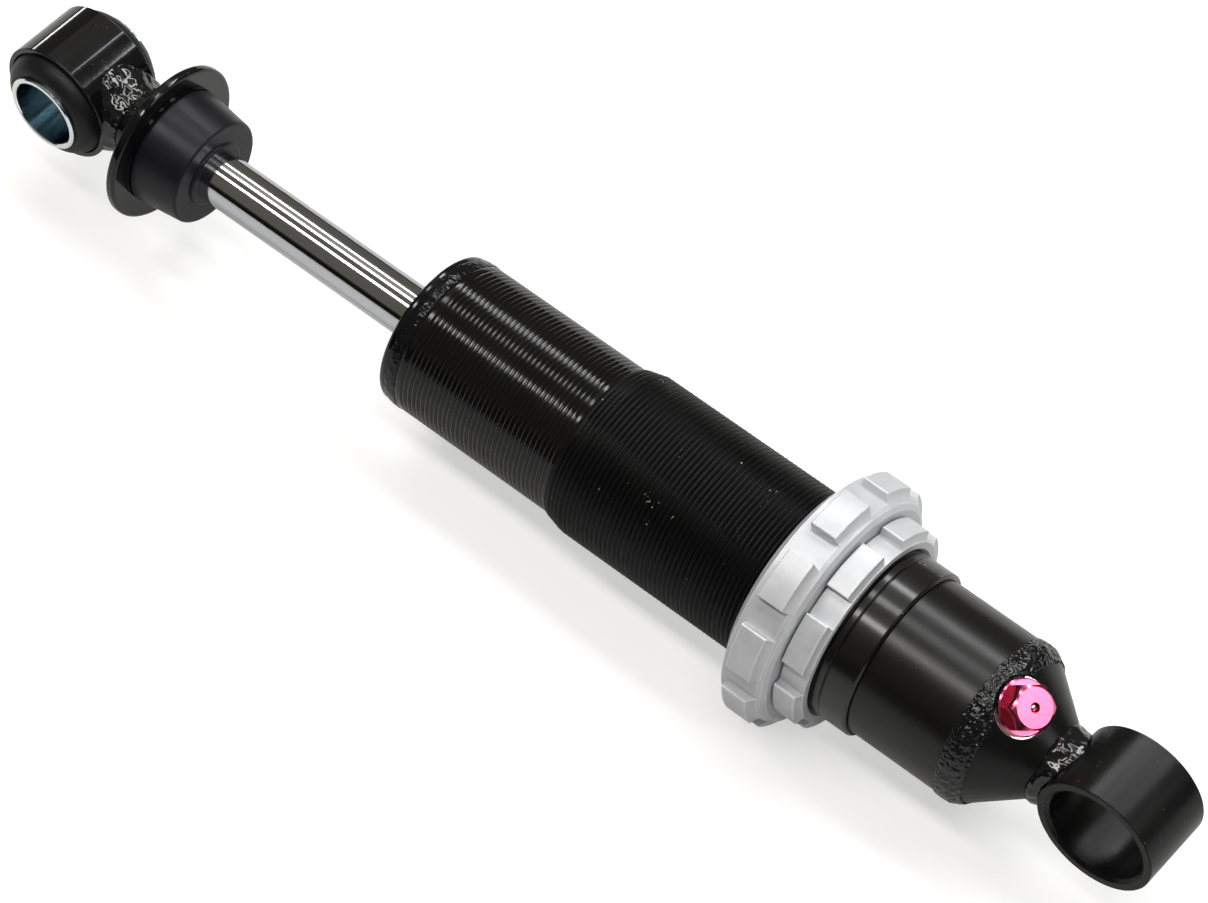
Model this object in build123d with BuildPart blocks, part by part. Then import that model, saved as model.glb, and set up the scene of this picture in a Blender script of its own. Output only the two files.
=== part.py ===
from build123d import *
import os
from math import cos, hypot, radians, sin, sqrt, tan

# A rebuildable gas shock absorber without its spring, lying along X and shown fully extended.
# Origin: centre of the body eye's bore. +X runs along the shock from the rod eye to the body
# eye, +Y along both eye bores, +Z up. Millimetres.

# ---------------------------------------------------------------- driving dimensions
# stroke and rod
rod_travel = 65.0
end_gap = 1.5  # bump stop to top cap, fully compressed
rod_r = 6.35
rod_spigot_r = 5.5
shank_r = 4.5
rod_edge = 0.3
shank_over = 1.6  # threaded end past the piston nut

# clearances
run_fit = 0.04  # radial, rod and pistons in their guides
ring_fit = 0.05  # radial, rings on the thread crests
free_gap = 0.5  # radial, where nothing should touch
lead_in = 0.8  # chamfers on bores, spigots and threaded ends

# body tube
tube_bore_r = 16.0
tube_wall = 3.1
paint_step = 0.45  # unturned foot of the tube over its turned length
groove_pitch = 1.27
groove_depth = 0.28
plain_end = 2.4  # ungrooved strip under the top weld
groove_end_gap = 0.6  # last groove to the thread sleeve

# thread sleeve
sleeve_len = 84.3
sleeve_wall = 1.6
sleeve_lip = 0.25
sleeve_taper_len = 4.5
sleeve_step = 0.5  # bevel at the sleeve's foot
collar_len = 8.8
ridge_at = 1.5  # end of the thread to the collar's fine groove
ridge_w = 0.6
ridge_depth = 0.35
thread_pitch = 1.27
thread_depth = 0.5
smooth_len = 26.4  # tube left bare between sleeve and foot

# adjuster rings
ring_gap = 0.4
collar_gap = 0.5  # lock ring to the end of the thread
slot_w = 7.0
slot_depth = 2.2
tooth_root = 0.6  # teeth sunk into the ring's body
edge_round = 0.35
preload_w = 12.9
preload_root_over = 8.0  # root circle over the thread crest
preload_slots = 10
preload_slot_turn = 68.8
preload_tooth_w = 6.5
preload_land = 3.8  # left face to the teeth
preload_tail = 1.3  # hollow slope at the teeth's right ends
preload_bevel_w = 2.1
preload_bevel_h = 4.0
preload_shoulder = 1.7
lock_w = 6.5
lock_root_over = 2.5
lock_slots = 8
lock_slot_turn = 77.0
lock_tooth_w = 5.7
lock_tail = 0.7

# end cone, its weld and the body eye
eye_bore_r = 11.9
eye_wall = 2.7
eye_half = 9.6
eye_mouth = 0.8
eye_edge = 0.3
weld_gap = 1.7  # cone tip to eye
neck_r = 8.6
neck_skirt = 1.2  # weld metal run out over the cone
neck_swell = 0.65
cone_half_angle = 38.25
cone_inset = 0.15  # cone rim inside the tube's foot
cone_land = 0.8  # straight rim at the cone's wide end
cone_weld_root = 1.3  # cone rim to the root of the weld
cone_cavity_wall = 4.0
cone_cavity_land = 2.0
spigot_len = 6.0
cone_wall = 4.7
cone_weld_w = 6.0
cone_weld_depth = 1.9
weld_crown = 0.4

# gas valve screw
valve_turn = 100.0
valve_from_rim = 4.42  # along X, cone rim to screw axis
valve_shank_r = 3.0
valve_shank_over = 1.5  # tip past the cone's wall
valve_edge = 0.3
valve_collar_r = 6.25
valve_collar_t = 1.4
valve_sunk = 1.0  # spot face below the cone's surface
valve_flats = 9.5
hexagon_turn = 15.0  # a corner from the level line across the screw
valve_head = 4.2
valve_hole_r = 1.15
valve_hole_deep = 2.0
valve_ball_r = 0.9
spot_over = 0.55
valve_ring_minor = 0.7

# top cap and guide
cap_t = 3.5
cap_inset = 0.2
cap_round = 1.2
top_weld_crown = 0.1
top_weld_w = 3.6
top_weld_depth = 1.5
wiper_w = 2.4
wiper_pocket = 3.2
wiper_lip = 0.4
guide_len = 19.0
bush_wall = 1.0
bush_inset = 1.0
bush_len = 12.0
seal_wall = 3.6
seal_len = 4.5
seal_short = 0.4  # lips short of the circlip
circlip_t = 1.5
circlip_w = 2.2
circlip_groove = 1.0
circlip_gap = 24.0  # degrees
bumper_len = 5.0
bumper_wall = 4.8
bumper_round = 0.8

# piston stack on the rod's shank
washer_t = 3.0
washer_rim = 5.15  # over the rod
shim_t = 0.3
shim_count = 4
shim_largest_in = 2.8  # inside the bore
shim_step = 1.8
piston_len = 13.0
piston_gap = 0.45
piston_edge = 0.5
band_w = 8.0
band_t = 1.35
port_r = 1.7
port_ring_r = 10.3
port_count = 6
backup_t = 2.0
backup_r = 7.6
nut_flats = 14.0
nut_t = 6.0

# floating piston
fp_len = 12.0
fp_gap = 4.24  # to the rod's tip, fully compressed
fp_cup_r = 10.0
fp_cup_deep = 7.0
fp_ring_x = 7.0  # oil face to seal
fp_ring_minor = 1.0
fp_band_x = 2.6
fp_band_w = 2.6
fp_band_t = 1.0
gas_len = 27.2

# o-ring in the guide
guide_ring_minor = 0.9
guide_ring_x = 9.0

# rod eye, bush and sleeve, flange and bump stop
bump_len = 12.75
bump_base_r = 15.0
bump_tip_r = 13.4
bump_round = 0.8
lip_r = 8.3
lip_h = 0.6
flange_t = 2.45
flange_boss_h = 0.4  # step that the bump stop sits on
flange_r = 19.9
flange_round = 0.8
neck_len = 25.85  # flange to eye centre
rod_neck_r = 8.4
rod_spigot_len = 9.9
rod_eye_wall = 1.65
rod_eye_half = 9.0
rod_eye_mouth = 0.5
eye_weld_r = 12.0
eye_weld_run = 3.6
eye_weld_crown = 0.6
eye_weld_over = 1.0  # past the eye's faces
bush_stand = 3.6  # rubber past the eye's face
bush_nose_t = 0.8
eye_rubber = 3.67
eye_sleeve_bore_r = 8.45
eye_sleeve_wall = 1.34
eye_sleeve_half = 13.62
eye_sleeve_edge = 0.25

# ---------------------------------------------------------------- what follows from them
tube_r = tube_bore_r + tube_wall
smooth_r = tube_r + paint_step
thread_r = tube_r + sleeve_wall
slope = tan(radians(cone_half_angle))
cone_rim_r = smooth_r - cone_inset
eye_r = eye_bore_r + eye_wall
eye_sleeve_r = eye_sleeve_bore_r + eye_sleeve_wall
bush_in_r = eye_sleeve_r + run_fit
rod_eye_bore_r = bush_in_r + eye_rubber
rod_eye_r = rod_eye_bore_r + rod_eye_wall
cone_tip_x = -(eye_r + weld_gap)
cone_foot_x = cone_tip_x - (cone_rim_r - neck_r) / slope
foot_x = cone_foot_x - cone_land
spigot_x = foot_x - spigot_len
step_x = foot_x - smooth_len
sleeve_x = step_x - sleeve_len
collar_x = step_x - collar_len

fp_right_x = spigot_x - gas_len
fp_left_x = fp_right_x - fp_len
fp_ratio = (rod_r / tube_bore_r) ** 2  # oil the rod displaces over the bore's area
shank_tip_x = fp_left_x - fp_gap - rod_travel * (1 - fp_ratio)
nut_x = shank_tip_x - shank_over - nut_t
backup_x = nut_x - backup_t
shims_t = shim_t * shim_count
piston_x = backup_x - shims_t - piston_len
washer_x = piston_x - shims_t - washer_t
guide_x = washer_x - bumper_len - guide_len
top_x = guide_x - cap_t

bump_tip_x = top_x - end_gap - rod_travel
bump_foot_x = bump_tip_x - bump_len
flange_x = bump_foot_x - flange_boss_h
neck_x = flange_x - flange_t
rod_eye_x = neck_x - neck_len

lock_right_x = collar_x - collar_gap
lock_left_x = lock_right_x - lock_w
preload_right_x = lock_left_x - ring_gap
preload_left_x = preload_right_x - preload_w
ring_bore_r = thread_r + ring_fit

tolerance = 0.01
overrun = 1.0  # cuts run past the metal by this

print(f"eye to eye {-rod_eye_x:.2f} mm, tube {foot_x - guide_x:.2f} mm long")
print(f"floating piston moves {fp_ratio:.5f} of the rod's travel")

os.makedirs("parts", exist_ok=True)


def turn(outline, mode=Mode.ADD):
    """Turn a closed outline of (x, r) corners about the shock's axis, in the part being built."""
    with BuildSketch(Plane.XZ) as profile:
        with BuildLine():
            Polyline(*outline, close=True)
        make_face()
    revolve(profile.sketch.faces(), axis=Axis.X, mode=mode)


def ring(x_from, x_to, r_in, r_out, mode=Mode.ADD):
    """A plain ring, or a disc when r_in is 0, between two planes across the axis."""
    turn([(x_from, r_in), (x_from, r_out), (x_to, r_out), (x_to, r_in)], mode)


def hoop(x, r_major, r_minor):
    """An o-ring about the axis."""
    with BuildSketch(Plane.XZ) as section:
        with Locations((x, r_major)):
            Circle(r_minor)
    revolve(section.sketch.faces(), axis=Axis.X)


def v_grooves(x_from, x_to, r_crest, pitch, depth):
    """Corners of a row of V grooves cut into a crest line, from x_from up to x_to."""
    count = int((x_to - x_from) / pitch)
    half = 0.4 * pitch
    corners = []
    for i in range(count):
        x = x_from + (i + 0.5) * pitch
        corners += [(x - half, r_crest), (x, r_crest - depth), (x + half, r_crest)]
    return corners


def cone_r(x):
    """Radius of the end cone's outside at x."""
    return neck_r + slope * (cone_tip_x - x)


def eye_cylinder(x, r, half, mode=Mode.ADD):
    """A cylinder along Y centred at (x, 0, 0)."""
    with BuildSketch(Plane.XZ) as section:
        with Locations((x, 0)):
            Circle(r)
    extrude(section.sketch.faces(), amount=half, both=True, mode=mode)


def edges_at(piece, r):
    """Edges whose ends all lie at radius r about the shock's axis."""
    return piece.edges().filter_by(
        lambda e: all(abs(hypot(v.Y, v.Z) - r) < tolerance for v in e.vertices())
    )


def round_edges(piece, r_min, r_max):
    """Circular edges with a radius between the two."""
    return (
        piece.edges()
        .filter_by(GeomType.CIRCLE)
        .filter_by(lambda e: r_min - tolerance < e.radius < r_max + tolerance)
    )


def save(piece, name):
    piece.part.label = name
    export_step(piece.part, f"parts/{name}.step")


# ---------------------------------------------------------------- body tube
# one turned tube: bare foot, seat for the thread sleeve, finely grooved upper length
weld_x = guide_x  # joint between cap and tube
circlip_x = guide_x + guide_len

with BuildPart() as body_tube:
    grooves_end = sleeve_x - groove_end_gap
    turn(
        [
            (weld_x, tube_bore_r),
            (weld_x, tube_r - top_weld_depth),
            (weld_x + top_weld_w / 2, tube_r),
        ]
        + v_grooves(weld_x + plain_end, grooves_end, tube_r, groove_pitch, groove_depth)
        + [
            (step_x, tube_r),
            (step_x, smooth_r),
            (foot_x - cone_weld_w / 3, smooth_r),
            (foot_x, smooth_r - cone_weld_depth),
            (foot_x, tube_bore_r),
        ]
    )
    ring(
        circlip_x,
        circlip_x + circlip_t,
        tube_bore_r - overrun,
        tube_bore_r + circlip_groove,
        Mode.SUBTRACT,
    )
save(body_tube, "body_tube")

# ---------------------------------------------------------------- thread sleeve
# slid over the tube against its step; annular grooves stand for the helical thread
with BuildPart() as thread_sleeve:
    thread_from = sleeve_x + sleeve_taper_len
    ridge_x = collar_x + ridge_at
    turn(
        [
            (sleeve_x, tube_r),
            (sleeve_x, tube_r + sleeve_lip),
            (thread_from, thread_r),
        ]
        + v_grooves(thread_from + thread_pitch / 4, collar_x, thread_r, thread_pitch, thread_depth)
        + [
            (ridge_x, thread_r),
            (ridge_x + ridge_w / 2, thread_r - ridge_depth),
            (ridge_x + ridge_w, thread_r),
            (step_x - sleeve_step, thread_r),
            (step_x, thread_r - sleeve_step),
            (step_x, tube_r),
        ]
    )
save(thread_sleeve, "thread_sleeve")


# ---------------------------------------------------------------- adjuster rings
def castellations(left, width, root_r, slots, slot_turn, tail):
    """A band of raised teeth with a hollow slope at the right, parted by square slots."""
    top_r = root_r + slot_depth
    right = left + width
    inner_r = root_r - tooth_root
    with BuildSketch(Plane.XZ) as band:
        with BuildLine():
            Polyline(
                (right + tail, root_r),
                (right + tail, inner_r),
                (left, inner_r),
                (left, top_r),
                (right, top_r),
            )
            ThreePointArc(
                (right, top_r),
                (right + 0.35 * tail, root_r + 0.4 * slot_depth),
                (right + tail, root_r),
            )
        make_face()
    revolve(band.sketch.faces(), axis=Axis.X)
    with BuildSketch(Plane.YZ.offset(left - overrun)) as gaps:
        with PolarLocations(root_r + slot_depth, slots, slot_turn):
            Rectangle(4 * slot_depth, slot_w)
    extrude(gaps.sketch.faces(), amount=width + tail + 2 * overrun, mode=Mode.SUBTRACT)


with BuildPart() as preload_ring:
    preload_root_r = thread_r + preload_root_over
    teeth_x = preload_left_x + preload_land
    castellations(teeth_x, preload_tooth_w, preload_root_r, preload_slots, preload_slot_turn, preload_tail)
    fillet(edges_at(preload_ring, preload_root_r + slot_depth), edge_round)
    turn(
        [
            (preload_left_x, ring_bore_r + lead_in),
            (preload_left_x, preload_root_r - preload_bevel_h),
            (preload_left_x + preload_bevel_w, preload_root_r),
            (preload_right_x - preload_shoulder, preload_root_r),
            (preload_right_x - 0.4 * preload_shoulder, preload_root_r - 0.3 * preload_shoulder),
            (preload_right_x, preload_root_r - preload_shoulder),
            (preload_right_x, ring_bore_r + lead_in),
            (preload_right_x - lead_in, ring_bore_r),
            (preload_left_x + lead_in, ring_bore_r),
        ]
    )
save(preload_ring, "preload_ring")

with BuildPart() as lock_ring:
    lock_root_r = thread_r + lock_root_over
    castellations(lock_left_x, lock_tooth_w, lock_root_r, lock_slots, lock_slot_turn, lock_tail)
    fillet(edges_at(lock_ring, lock_root_r + slot_depth), edge_round)
    turn(
        [
            (lock_left_x, ring_bore_r + lead_in),
            (lock_left_x, lock_root_r),
            (lock_right_x, lock_root_r),
            (lock_right_x, ring_bore_r + lead_in),
            (lock_right_x - lead_in, ring_bore_r),
            (lock_left_x + lead_in, ring_bore_r),
        ]
    )
save(lock_ring, "lock_ring")

# ---------------------------------------------------------------- gas valve seat in the cone
# the screw stands square to the cone's surface
valve_x = cone_foot_x + valve_from_rim
valve_out = Vector(
    sin(radians(cone_half_angle)),
    cos(radians(cone_half_angle)) * cos(radians(valve_turn)),
    cos(radians(cone_half_angle)) * sin(radians(valve_turn)),
)
valve_foot = Vector(
    valve_x,
    cone_r(valve_x) * cos(radians(valve_turn)),
    cone_r(valve_x) * sin(radians(valve_turn)),
)
valve_plane = Plane(origin=valve_foot, x_dir=Vector(1, 0, 0).cross(valve_out), z_dir=valve_out)
valve_shank_len = cone_wall + valve_shank_over
valve_ring_r = valve_shank_r + valve_ring_minor
valve_ring_deep = 2 * valve_ring_minor


def valve_bore(r, z_from, z_to, mode=Mode.ADD):
    """A cylinder on the screw's axis, heights counted from the cone's surface."""
    with BuildSketch(valve_plane.offset(z_from)) as section:
        Circle(r)
    extrude(section.sketch.faces(), amount=z_to - z_from, mode=mode)


def cut_valve_seat():
    """Spot face, seal groove and threaded hole of the screw."""
    valve_bore(valve_collar_r + spot_over, -valve_sunk, valve_flats, Mode.SUBTRACT)
    valve_bore(valve_ring_r + valve_ring_minor, -valve_sunk - valve_ring_deep, 0, Mode.SUBTRACT)
    valve_bore(valve_shank_r, -2 * valve_shank_len, 0, Mode.SUBTRACT)


# ---------------------------------------------------------------- end cone
weld_root_r = smooth_r - cone_weld_depth
with BuildPart() as end_cone:
    rim_x = cone_foot_x + cone_weld_root
    cavity_r = tube_bore_r - cone_cavity_wall
    cavity_x = foot_x + cone_cavity_land
    floor_x = cone_tip_x - cone_wall
    floor_r = cone_r(floor_x) - cone_wall / cos(radians(cone_half_angle))
    turn(
        [
            (spigot_x, cavity_r),
            (spigot_x, tube_bore_r - lead_in),
            (spigot_x + lead_in, tube_bore_r),
            (foot_x, tube_bore_r),
            (foot_x, weld_root_r),
            (rim_x, cone_r(rim_x)),
            (cone_tip_x, neck_r),
            (cone_tip_x, 0),
            (floor_x, 0),
            (floor_x, floor_r),
            (cavity_x, cavity_r),
        ]
    )
    cut_valve_seat()
save(end_cone, "end_cone")

# ---------------------------------------------------------------- weld round the foot
with BuildPart() as cone_weld:
    weld_from = foot_x - 2 * cone_weld_w / 3
    weld_to = foot_x + cone_weld_w / 2
    with BuildSketch(Plane.XZ) as bead:
        with BuildLine():
            Polyline(
                (weld_from, smooth_r),
                (foot_x - cone_weld_w / 3, smooth_r),
                (foot_x, weld_root_r),
                (rim_x, cone_r(rim_x)),
                (weld_to, cone_r(weld_to)),
            )
            ThreePointArc(
                (weld_to, cone_r(weld_to)),
                (foot_x, smooth_r + weld_crown),
                (weld_from, smooth_r),
            )
        make_face()
    revolve(bead.sketch.faces(), axis=Axis.X)
    cut_valve_seat()
save(cone_weld, "cone_weld")

# ---------------------------------------------------------------- body eye
with BuildPart() as body_eye:
    eye_cylinder(0, eye_r, eye_half)
    eye_cylinder(0, eye_bore_r, eye_half, Mode.SUBTRACT)
    chamfer(round_edges(body_eye, eye_bore_r, eye_bore_r), eye_mouth)
    fillet(round_edges(body_eye, eye_r, eye_r), eye_edge)
save(body_eye, "body_eye")

# neck of weld metal between cone and eye, trimmed to the eye's round back
with BuildPart() as body_eye_weld:
    skirt_x = cone_tip_x - neck_skirt
    neck_end_x = cone_tip_x + weld_gap + eye_r / 3
    turn(
        [
            (cone_tip_x, 0),
            (cone_tip_x, neck_r),
            (skirt_x, cone_r(skirt_x)),
            (skirt_x + 0.8 * neck_skirt, cone_r(skirt_x) + 0.2 * neck_swell),
            (cone_tip_x + neck_skirt, neck_r + neck_swell),
            (cone_tip_x + 3 * neck_skirt, neck_r + neck_swell),
            (neck_end_x, neck_r + 0.4 * neck_swell),
            (neck_end_x, 0),
        ]
    )
    eye_cylinder(0, eye_r, 2 * eye_half, Mode.SUBTRACT)
save(body_eye_weld, "body_eye_weld")

# ---------------------------------------------------------------- gas valve screw
with BuildPart() as gas_valve_screw:
    valve_bore(valve_shank_r, -valve_sunk - valve_shank_len, -valve_sunk)
    tip_edge = gas_valve_screw.edges().filter_by(GeomType.CIRCLE).sort_by_distance(valve_foot)[-1]
    chamfer(tip_edge, 2 * valve_edge)
    collar_top = valve_collar_t - valve_sunk
    face_top = collar_top + valve_head
    with BuildSketch(valve_plane.offset(collar_top)):
        RegularPolygon(valve_flats / 2, 6, major_radius=False, rotation=hexagon_turn)
    extrude(amount=valve_head)
    # the chamfer that rounds the hexagon's corners at the face
    face_r = 0.46 * valve_flats
    clear_r = valve_flats / sqrt(3) + overrun
    corner_drop = (clear_r - face_r) * tan(radians(30))
    valve_side = valve_plane.x_dir.cross(valve_out)
    with BuildSketch(Plane(origin=valve_foot, x_dir=valve_plane.x_dir, z_dir=valve_side)):
        with BuildLine():
            Polyline(
                (face_r, face_top),
                (clear_r, face_top),
                (clear_r, face_top - corner_drop),
                close=True,
            )
        make_face()
    revolve(axis=Axis(valve_foot, valve_out), mode=Mode.SUBTRACT)
    valve_bore(valve_collar_r, -valve_sunk, collar_top)
    chamfer(round_edges(gas_valve_screw, valve_collar_r, valve_collar_r), valve_edge)
    valve_bore(valve_hole_r, face_top - valve_hole_deep, face_top, Mode.SUBTRACT)
save(gas_valve_screw, "gas_valve_screw")

with BuildPart() as valve_ball:
    with Locations(valve_plane.offset(face_top - valve_hole_deep + valve_ball_r).location):
        Sphere(valve_ball_r)
save(valve_ball, "valve_ball")

with BuildPart() as valve_o_ring:
    with Locations(valve_plane.offset(-valve_sunk - valve_ring_minor).location):
        Torus(valve_ring_r, valve_ring_minor)
save(valve_o_ring, "valve_o_ring")

# ---------------------------------------------------------------- top cap, weld and wiper
cap_r = tube_r - cap_inset
with BuildPart() as top_cap:
    ring(top_x, weld_x, 0, cap_r)
    fillet(top_cap.edges().filter_by(GeomType.CIRCLE).sort_by(Axis.X)[0], cap_round)
    turn(
        [
            (weld_x - top_weld_w / 2, tube_r + overrun),
            (weld_x - top_weld_w / 2, cap_r),
            (weld_x, tube_r - top_weld_depth),
            (weld_x, tube_r + overrun),
        ],
        Mode.SUBTRACT,
    )
    ring(top_x, weld_x, 0, rod_r + free_gap, Mode.SUBTRACT)
    ring(top_x, top_x + wiper_w, 0, rod_r + wiper_pocket, Mode.SUBTRACT)
save(top_cap, "top_cap")

with BuildPart() as top_cap_weld:
    with BuildSketch(Plane.XZ) as bead:
        with BuildLine():
            Polyline(
                (weld_x - top_weld_w / 2, cap_r),
                (weld_x, tube_r - top_weld_depth),
                (weld_x + top_weld_w / 2, tube_r),
            )
            ThreePointArc(
                (weld_x + top_weld_w / 2, tube_r),
                (weld_x, tube_r + top_weld_crown),
                (weld_x - top_weld_w / 2, cap_r),
            )
        make_face()
    revolve(bead.sketch.faces(), axis=Axis.X)
save(top_cap_weld, "top_cap_weld")

with BuildPart() as rod_wiper:
    pocket_r = rod_r + wiper_pocket
    turn(
        [
            (top_x - wiper_lip, rod_r + run_fit),
            (top_x - wiper_lip, rod_r + wiper_lip),
            (top_x + wiper_lip, rod_r + wiper_pocket / 2),
            (top_x, pocket_r - wiper_lip),
            (top_x, pocket_r),
            (top_x + wiper_w, pocket_r),
            (top_x + wiper_w, rod_r + run_fit),
        ]
    )
save(rod_wiper, "rod_wiper")

# ---------------------------------------------------------------- rod guide with bush and seals
bush_x = guide_x + bush_inset
seal_x = circlip_x - seal_len
bush_r = rod_r + run_fit + bush_wall
seal_r = rod_r + run_fit + seal_wall
guide_hoop_x = guide_x + guide_ring_x
guide_hoop_r = tube_bore_r - guide_ring_minor
with BuildPart() as rod_guide:
    ring(guide_x, circlip_x, rod_r + free_gap, tube_bore_r)
    ring(bush_x, bush_x + bush_len, 0, bush_r, Mode.SUBTRACT)
    ring(seal_x, circlip_x, 0, seal_r, Mode.SUBTRACT)
    ring(
        guide_hoop_x - 1.3 * guide_ring_minor,
        guide_hoop_x + 1.3 * guide_ring_minor,
        tube_bore_r - 2 * guide_ring_minor,
        tube_bore_r + overrun,
        Mode.SUBTRACT,
    )
save(rod_guide, "rod_guide")

with BuildPart() as guide_bush:
    ring(bush_x, bush_x + bush_len, rod_r + run_fit, bush_r)
save(guide_bush, "guide_bush")

# u-cup with its mouth towards the oil
with BuildPart() as rod_seal:
    seal_mid_r = (rod_r + run_fit + seal_r) / 2
    seal_end_x = circlip_x - seal_short
    turn(
        [
            (seal_x, rod_r + run_fit),
            (seal_x, seal_r),
            (seal_end_x, seal_r),
            (seal_end_x, seal_mid_r + seal_wall / 4),
            (seal_x + 0.4 * seal_len, seal_mid_r),
            (seal_end_x, seal_mid_r - seal_wall / 4),
            (seal_end_x, rod_r + run_fit),
        ]
    )
save(rod_seal, "rod_seal")

with BuildPart() as guide_o_ring:
    hoop(guide_hoop_x, guide_hoop_r, guide_ring_minor)
save(guide_o_ring, "guide_o_ring")

with BuildPart() as guide_circlip:
    circlip_r = tube_bore_r + circlip_groove
    ring(circlip_x, circlip_x + circlip_t, circlip_r - circlip_w, circlip_r)
    gap_w = 2 * circlip_r * tan(radians(circlip_gap / 2))
    with BuildSketch(Plane.YZ.offset(circlip_x - overrun)) as mouth:
        with Locations((0, -circlip_r)):
            Rectangle(gap_w, 3 * circlip_w)
    extrude(mouth.sketch.faces(), amount=circlip_t + 2 * overrun, mode=Mode.SUBTRACT)
save(guide_circlip, "guide_circlip")

with BuildPart() as topout_bumper:
    bumper_in_r = rod_r + 2 * free_gap
    ring(circlip_x, washer_x, bumper_in_r, bumper_in_r + bumper_wall)
    fillet(topout_bumper.edges().filter_by(GeomType.CIRCLE).group_by(Axis.X)[-1], bumper_round)
save(topout_bumper, "topout_bumper")

# ---------------------------------------------------------------- piston rod
# threaded spigot in the neck, chromed length, then the slimmer shank of the piston
with BuildPart() as piston_rod:
    turn(
        [
            (neck_x - rod_spigot_len, 0),
            (neck_x - rod_spigot_len, rod_spigot_r - lead_in),
            (neck_x - rod_spigot_len + lead_in, rod_spigot_r),
            (neck_x, rod_spigot_r),
            (neck_x, rod_r),
            (washer_x - rod_edge, rod_r),
            (washer_x, rod_r - rod_edge),
            (washer_x, shank_r),
            (shank_tip_x - lead_in, shank_r),
            (shank_tip_x, shank_r - lead_in),
            (shank_tip_x, 0),
        ]
    )
save(piston_rod, "piston_rod")

# ---------------------------------------------------------------- piston stack
with BuildPart() as topout_washer:
    ring(washer_x, washer_x + washer_t, shank_r, rod_r + washer_rim)
    chamfer(topout_washer.edges().filter_by(GeomType.CIRCLE).sort_by(SortBy.RADIUS)[-2:], rod_edge)
save(topout_washer, "topout_washer")


def shim_stack(x_from, grow):
    """Discs that grow towards the piston: grow is 1 when the piston is on the +X side."""
    for i in range(shim_count):
        from_piston = shim_count - 1 - i if grow > 0 else i
        shim_r = tube_bore_r - shim_largest_in - shim_step * from_piston
        ring(x_from + i * shim_t, x_from + (i + 1) * shim_t, shank_r, shim_r)


with BuildPart() as compression_shims:
    shim_stack(washer_x + washer_t, 1)
save(compression_shims, "compression_shims")

piston_r = tube_bore_r - piston_gap
band_x = piston_x + (piston_len - band_w) / 2
band_out_r = tube_bore_r - run_fit
with BuildPart() as piston:
    ring(piston_x, piston_x + piston_len, shank_r, piston_r)
    chamfer(piston.edges().filter_by(GeomType.CIRCLE).sort_by(SortBy.RADIUS)[-2:], piston_edge)
    ring(band_x, band_x + band_w, band_out_r - band_t, tube_bore_r + overrun, Mode.SUBTRACT)
    with BuildSketch(Plane.YZ.offset(piston_x)) as ports:
        with PolarLocations(port_ring_r, port_count):
            Circle(port_r)
    extrude(ports.sketch.faces(), amount=piston_len, mode=Mode.SUBTRACT)
save(piston, "piston")

with BuildPart() as piston_band:
    ring(band_x, band_x + band_w, band_out_r - band_t, band_out_r)
save(piston_band, "piston_band")

with BuildPart() as rebound_shims:
    shim_stack(piston_x + piston_len, -1)
save(rebound_shims, "rebound_shims")

with BuildPart() as piston_backup_washer:
    ring(backup_x, nut_x, shank_r, backup_r)
save(piston_backup_washer, "piston_backup_washer")

with BuildPart() as piston_nut:
    with BuildSketch(Plane.YZ.offset(nut_x)):
        RegularPolygon(nut_flats / 2, 6, major_radius=False)
        Circle(shank_r, mode=Mode.SUBTRACT)
    extrude(amount=nut_t)
save(piston_nut, "piston_nut")

# ---------------------------------------------------------------- floating piston
with BuildPart() as floating_piston:
    seal_at = fp_left_x + fp_ring_x
    band_at = fp_left_x + fp_band_x
    groove_r = tube_bore_r - run_fit - 2 * fp_ring_minor
    ring(fp_left_x, fp_right_x, 0, piston_r)
    ring(fp_right_x - fp_cup_deep, fp_right_x, 0, fp_cup_r, Mode.SUBTRACT)
    cut_r = tube_bore_r + overrun
    band_in_r = band_out_r - fp_band_t
    seal_half = 1.2 * fp_ring_minor
    ring(seal_at - seal_half, seal_at + seal_half, groove_r, cut_r, Mode.SUBTRACT)
    ring(band_at - fp_band_w / 2, band_at + fp_band_w / 2, band_in_r, cut_r, Mode.SUBTRACT)
save(floating_piston, "floating_piston")

with BuildPart() as floating_piston_o_ring:
    hoop(seal_at, groove_r + fp_ring_minor, fp_ring_minor)
save(floating_piston_o_ring, "floating_piston_o_ring")

with BuildPart() as floating_piston_band:
    ring(band_at - fp_band_w / 2, band_at + fp_band_w / 2, band_in_r, band_out_r)
save(floating_piston_band, "floating_piston_band")

# ---------------------------------------------------------------- bump stop and flange
with BuildPart() as bump_stop:
    turn(
        [
            (bump_foot_x, rod_r),
            (bump_foot_x, bump_base_r),
            (bump_tip_x, bump_tip_r),
            (bump_tip_x, rod_r),
        ]
    )
    fillet(round_edges(bump_stop, bump_tip_r, bump_base_r), bump_round)
    ring(bump_tip_x - overrun, bump_tip_x + lip_h, rod_r, lip_r)
    lip_edge = bump_stop.edges().filter_by(GeomType.CIRCLE).group_by(Axis.X)[-1].sort_by(SortBy.RADIUS)[-1]
    fillet(lip_edge, 0.9 * lip_h)
save(bump_stop, "bump_stop")

with BuildPart() as bump_flange:
    ring(neck_x, flange_x, rod_r, flange_r)
    fillet(round_edges(bump_flange, flange_r, flange_r), flange_round)
    ring(flange_x, bump_foot_x, rod_r, bump_base_r)
save(bump_flange, "bump_flange")

# ---------------------------------------------------------------- rod eye
with BuildPart() as rod_eye_neck:
    ring(rod_eye_x + rod_eye_r / 2, neck_x, 0, rod_neck_r)
    ring(neck_x - rod_spigot_len, neck_x, 0, rod_spigot_r, Mode.SUBTRACT)
    eye_cylinder(rod_eye_x, rod_eye_r, 2 * rod_eye_half, Mode.SUBTRACT)
save(rod_eye_neck, "rod_eye_neck")

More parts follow.
